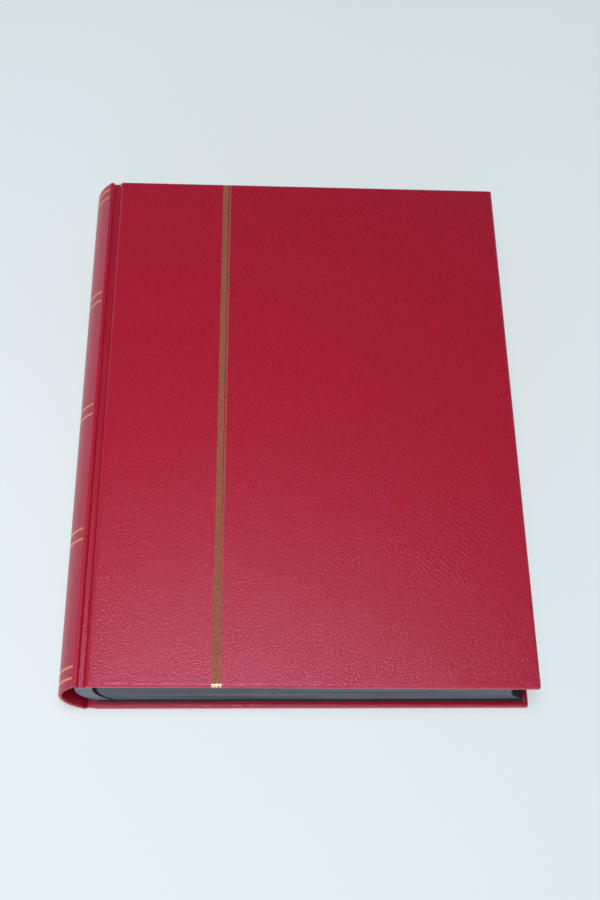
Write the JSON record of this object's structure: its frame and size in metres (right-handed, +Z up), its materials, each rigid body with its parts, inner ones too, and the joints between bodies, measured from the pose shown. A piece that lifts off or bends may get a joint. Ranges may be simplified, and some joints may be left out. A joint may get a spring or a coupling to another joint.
{
  "type": "stamp stockbook",
  "caption": "Case-bound stamp album with a rounded spine, grooved joints and black card leaves that carry rows of clear pocket strips.",
  "frame": {"origin": "middle of the closed album's footprint, on the surface it lies on", "axes": "+Z up through the front cover, +Y to the head, +X to the fore-edge, -X to the spine"},
  "size_m": [0.236, 0.3052, 0.0411],
  "materials": {
    "leatherette": "crimson grained leatherette, satin",
    "greyboard": "raw grey board",
    "spine_card": "flexible card",
    "endpaper": "black uncoated paper",
    "black_card": "black uncoated card with linen hinge",
    "clear_film": "clear film, glossy",
    "gold_foil": "hot-stamped gold foil, satin"
  },
  "bodies": {
    "back_cover": {"back_board": "greyboard", "back_covering": "leatherette", "back_pastedown": "endpaper"},
    "spine": {"spine_card": "spine_card", "spine_covering": "leatherette", "spine_gold_bands": "gold_foil"},
    "front_cover": {"front_board": "greyboard", "front_covering": "leatherette", "front_pastedown": "endpaper", "front_gold_lines": "gold_foil"},
    "back_flyleaf": {"back_flyleaf": "endpaper"},
    "leaf_24": {"leaf_24": "black_card", "pockets_24": "clear_film"},
    "leaf_23": {"leaf_23": "black_card", "pockets_23": "clear_film"},
    "leaf_22": {"leaf_22": "black_card", "pockets_22": "clear_film"},
    "leaf_21": {"leaf_21": "black_card", "pockets_21": "clear_film"},
    "leaf_20": {"leaf_20": "black_card", "pockets_20": "clear_film"},
    "leaf_19": {"leaf_19": "black_card", "pockets_19": "clear_film"},
    "leaf_18": {"leaf_18": "black_card", "pockets_18": "clear_film"},
    "leaf_17": {"leaf_17": "black_card", "pockets_17": "clear_film"},
    "leaf_16": {"leaf_16": "black_card", "pockets_16": "clear_film"},
    "leaf_15": {"leaf_15": "black_card", "pockets_15": "clear_film"},
    "leaf_14": {"leaf_14": "black_card", "pockets_14": "clear_film"},
    "leaf_13": {"leaf_13": "black_card", "pockets_13": "clear_film"},
    "leaf_12": {"leaf_12": "black_card", "pockets_12": "clear_film"},
    "leaf_11": {"leaf_11": "black_card", "pockets_11": "clear_film"},
    "leaf_10": {"leaf_10": "black_card", "pockets_10": "clear_film"},
    "leaf_09": {"leaf_09": "black_card", "pockets_09": "clear_film"},
    "leaf_08": {"leaf_08": "black_card", "pockets_08": "clear_film"},
    "leaf_07": {"leaf_07": "black_card", "pockets_07": "clear_film"},
    "leaf_06": {"leaf_06": "black_card", "pockets_06": "clear_film"},
    "leaf_05": {"leaf_05": "black_card", "pockets_05": "clear_film"},
    "leaf_04": {"leaf_04": "black_card", "pockets_04": "clear_film"},
    "leaf_03": {"leaf_03": "black_card", "pockets_03": "clear_film"},
    "leaf_02": {"leaf_02": "black_card", "pockets_02": "clear_film"},
    "leaf_01": {"leaf_01": "black_card", "pockets_01": "clear_film"},
    "front_flyleaf": {"front_flyleaf": "endpaper"}
  },
  "joints": [
    {"name": "front_cover_hinge", "type": "hinge", "parent": "spine", "child": "front_cover", "pos_m": [-0.1046, 0, 0.03832], "axis": [0, -1, 0], "range_deg": [0, 91.33]},
    {"name": "spine_hinge", "type": "hinge", "parent": "back_cover", "child": "spine", "pos_m": [-0.1046, 0, 0.00282], "axis": [0, -1, 0], "range_deg": [0, 90.01]},
    {"name": "back_flyleaf_turn", "type": "hinge", "parent": "back_cover", "child": "back_flyleaf", "pos_m": [-0.1032, 0, 0.00355], "axis": [0, -1, 0], "range_deg": [0, 6.5]},
    {"name": "leaf_24_turn", "type": "hinge", "parent": "back_flyleaf", "child": "leaf_24", "pos_m": [-0.1032, 0, 0.0039], "axis": [0, -1, 0], "range_deg": [0, 6.5]},
    {"name": "leaf_23_turn", "type": "hinge", "parent": "leaf_24", "child": "leaf_23", "pos_m": [-0.10389, 0, 0.00525], "axis": [0, -1, 0], "range_deg": [0, 6.5]},
    {"name": "leaf_22_turn", "type": "hinge", "parent": "leaf_23", "child": "leaf_22", "pos_m": [-0.1051, 0, 0.0066], "axis": [0, -1, 0], "range_deg": [0, 6.5]},
    {"name": "leaf_21_turn", "type": "hinge", "parent": "leaf_22", "child": "leaf_21", "pos_m": [-0.10613, 0, 0.00796], "axis": [0, -1, 0], "range_deg": [0, 6.5]},
    {"name": "leaf_20_turn", "type": "hinge", "parent": "leaf_21", "child": "leaf_20", "pos_m": [-0.10701, 0, 0.00931], "axis": [0, -1, 0], "range_deg": [0, 6.5]},
    {"name": "leaf_19_turn", "type": "hinge", "parent": "leaf_20", "child": "leaf_19", "pos_m": [-0.10776, 0, 0.01067], "axis": [0, -1, 0], "range_deg": [0, 6.5]},
    {"name": "leaf_18_turn", "type": "hinge", "parent": "leaf_19", "child": "leaf_18", "pos_m": [-0.1084, 0, 0.01203], "axis": [0, -1, 0], "range_deg": [0, 6.5]},
    {"name": "leaf_17_turn", "type": "hinge", "parent": "leaf_18", "child": "leaf_17", "pos_m": [-0.10892, 0, 0.01339], "axis": [0, -1, 0], "range_deg": [0, 6.5]},
    {"name": "leaf_16_turn", "type": "hinge", "parent": "leaf_17", "child": "leaf_16", "pos_m": [-0.10935, 0, 0.01475], "axis": [0, -1, 0], "range_deg": [0, 6.5]},
    {"name": "leaf_15_turn", "type": "hinge", "parent": "leaf_16", "child": "leaf_15", "pos_m": [-0.10969, 0, 0.01611], "axis": [0, -1, 0], "range_deg": [0, 6.5]},
    {"name": "leaf_14_turn", "type": "hinge", "parent": "leaf_15", "child": "leaf_14", "pos_m": [-0.10994, 0, 0.01747], "axis": [0, -1, 0], "range_deg": [0, 6.5]},
    {"name": "leaf_13_turn", "type": "hinge", "parent": "leaf_14", "child": "leaf_13", "pos_m": [-0.11011, 0, 0.01882], "axis": [0, -1, 0], "range_deg": [0, 6.5]},
    {"name": "leaf_12_turn", "type": "hinge", "parent": "leaf_13", "child": "leaf_12", "pos_m": [-0.11019, 0, 0.02018], "axis": [0, -1, 0], "range_deg": [0, 6.5]},
    {"name": "leaf_11_turn", "type": "hinge", "parent": "leaf_12", "child": "leaf_11", "pos_m": [-0.11011, 0, 0.02154], "axis": [0, -1, 0], "range_deg": [0, 6.5]},
    {"name": "leaf_10_turn", "type": "hinge", "parent": "leaf_11", "child": "leaf_10", "pos_m": [-0.10994, 0, 0.02289], "axis": [0, -1, 0], "range_deg": [0, 6.5]},
    {"name": "leaf_09_turn", "type": "hinge", "parent": "leaf_10", "child": "leaf_09", "pos_m": [-0.10969, 0, 0.02424], "axis": [0, -1, 0], "range_deg": [0, 6.5]},
    {"name": "leaf_08_turn", "type": "hinge", "parent": "leaf_09", "child": "leaf_08", "pos_m": [-0.10935, 0, 0.0256], "axis": [0, -1, 0], "range_deg": [0, 6.5]},
    {"name": "leaf_07_turn", "type": "hinge", "parent": "leaf_08", "child": "leaf_07", "pos_m": [-0.10892, 0, 0.02694], "axis": [0, -1, 0], "range_deg": [0, 6.5]},
    {"name": "leaf_06_turn", "type": "hinge", "parent": "leaf_07", "child": "leaf_06", "pos_m": [-0.1084, 0, 0.02829], "axis": [0, -1, 0], "range_deg": [0, 6.5]},
    {"name": "leaf_05_turn", "type": "hinge", "parent": "leaf_06", "child": "leaf_05", "pos_m": [-0.10776, 0, 0.02963], "axis": [0, -1, 0], "range_deg": [0, 6.5]},
    {"name": "leaf_04_turn", "type": "hinge", "parent": "leaf_05", "child": "leaf_04", "pos_m": [-0.10701, 0, 0.03097], "axis": [0, -1, 0], "range_deg": [0, 6.5]},
    {"name": "leaf_03_turn", "type": "hinge", "parent": "leaf_04", "child": "leaf_03", "pos_m": [-0.10613, 0, 0.03231], "axis": [0, -1, 0], "range_deg": [0, 6.5]},
    {"name": "leaf_02_turn", "type": "hinge", "parent": "leaf_03", "child": "leaf_02", "pos_m": [-0.1051, 0, 0.03364], "axis": [0, -1, 0], "range_deg": [0, 6.5]},
    {"name": "leaf_01_turn", "type": "hinge", "parent": "leaf_02", "child": "leaf_01", "pos_m": [-0.10389, 0, 0.03497], "axis": [0, -1, 0], "range_deg": [0, 6.5]},
    {"name": "front_flyleaf_turn", "type": "hinge", "parent": "leaf_01", "child": "front_flyleaf", "pos_m": [-0.1032, 0, 0.03645], "axis": [0, -1, 0], "range_deg": [0, 6.5]}
  ],
  "couplings": [
    {"joint": "spine_hinge", "follows": "front_cover_hinge", "ratio": 0.98545},
    {"joint": "back_flyleaf_turn", "follows": "front_cover_hinge", "ratio": 0.069487},
    {"joint": "leaf_24_turn", "follows": "front_cover_hinge", "ratio": 0.069487},
    {"joint": "leaf_23_turn", "follows": "front_cover_hinge", "ratio": 0.069487},
    {"joint": "leaf_22_turn", "follows": "front_cover_hinge", "ratio": 0.069487},
    {"joint": "leaf_21_turn", "follows": "front_cover_hinge", "ratio": 0.069487},
    {"joint": "leaf_20_turn", "follows": "front_cover_hinge", "ratio": 0.069487},
    {"joint": "leaf_19_turn", "follows": "front_cover_hinge", "ratio": 0.069487},
    {"joint": "leaf_18_turn", "follows": "front_cover_hinge", "ratio": 0.069487},
    {"joint": "leaf_17_turn", "follows": "front_cover_hinge", "ratio": 0.069487},
    {"joint": "leaf_16_turn", "follows": "front_cover_hinge", "ratio": 0.069487},
    {"joint": "leaf_15_turn", "follows": "front_cover_hinge", "ratio": 0.069487},
    {"joint": "leaf_14_turn", "follows": "front_cover_hinge", "ratio": 0.069487},
    {"joint": "leaf_13_turn", "follows": "front_cover_hinge", "ratio": 0.069487},
    {"joint": "leaf_12_turn", "follows": "front_cover_hinge", "ratio": 0.069487},
    {"joint": "leaf_11_turn", "follows": "front_cover_hinge", "ratio": 0.069487},
    {"joint": "leaf_10_turn", "follows": "front_cover_hinge", "ratio": 0.069487},
    {"joint": "leaf_09_turn", "follows": "front_cover_hinge", "ratio": 0.069487},
    {"joint": "leaf_08_turn", "follows": "front_cover_hinge", "ratio": 0.069487},
    {"joint": "leaf_07_turn", "follows": "front_cover_hinge", "ratio": 0.069487},
    {"joint": "leaf_06_turn", "follows": "front_cover_hinge", "ratio": 0.069487},
    {"joint": "leaf_05_turn", "follows": "front_cover_hinge", "ratio": 0.069487},
    {"joint": "leaf_04_turn", "follows": "front_cover_hinge", "ratio": 0.069487},
    {"joint": "leaf_03_turn", "follows": "front_cover_hinge", "ratio": 0.069487},
    {"joint": "leaf_02_turn", "follows": "front_cover_hinge", "ratio": 0.069487},
    {"joint": "leaf_01_turn", "follows": "front_cover_hinge", "ratio": 0.069487},
    {"joint": "front_flyleaf_turn", "follows": "front_cover_hinge", "ratio": 0.069487}
  ]
}
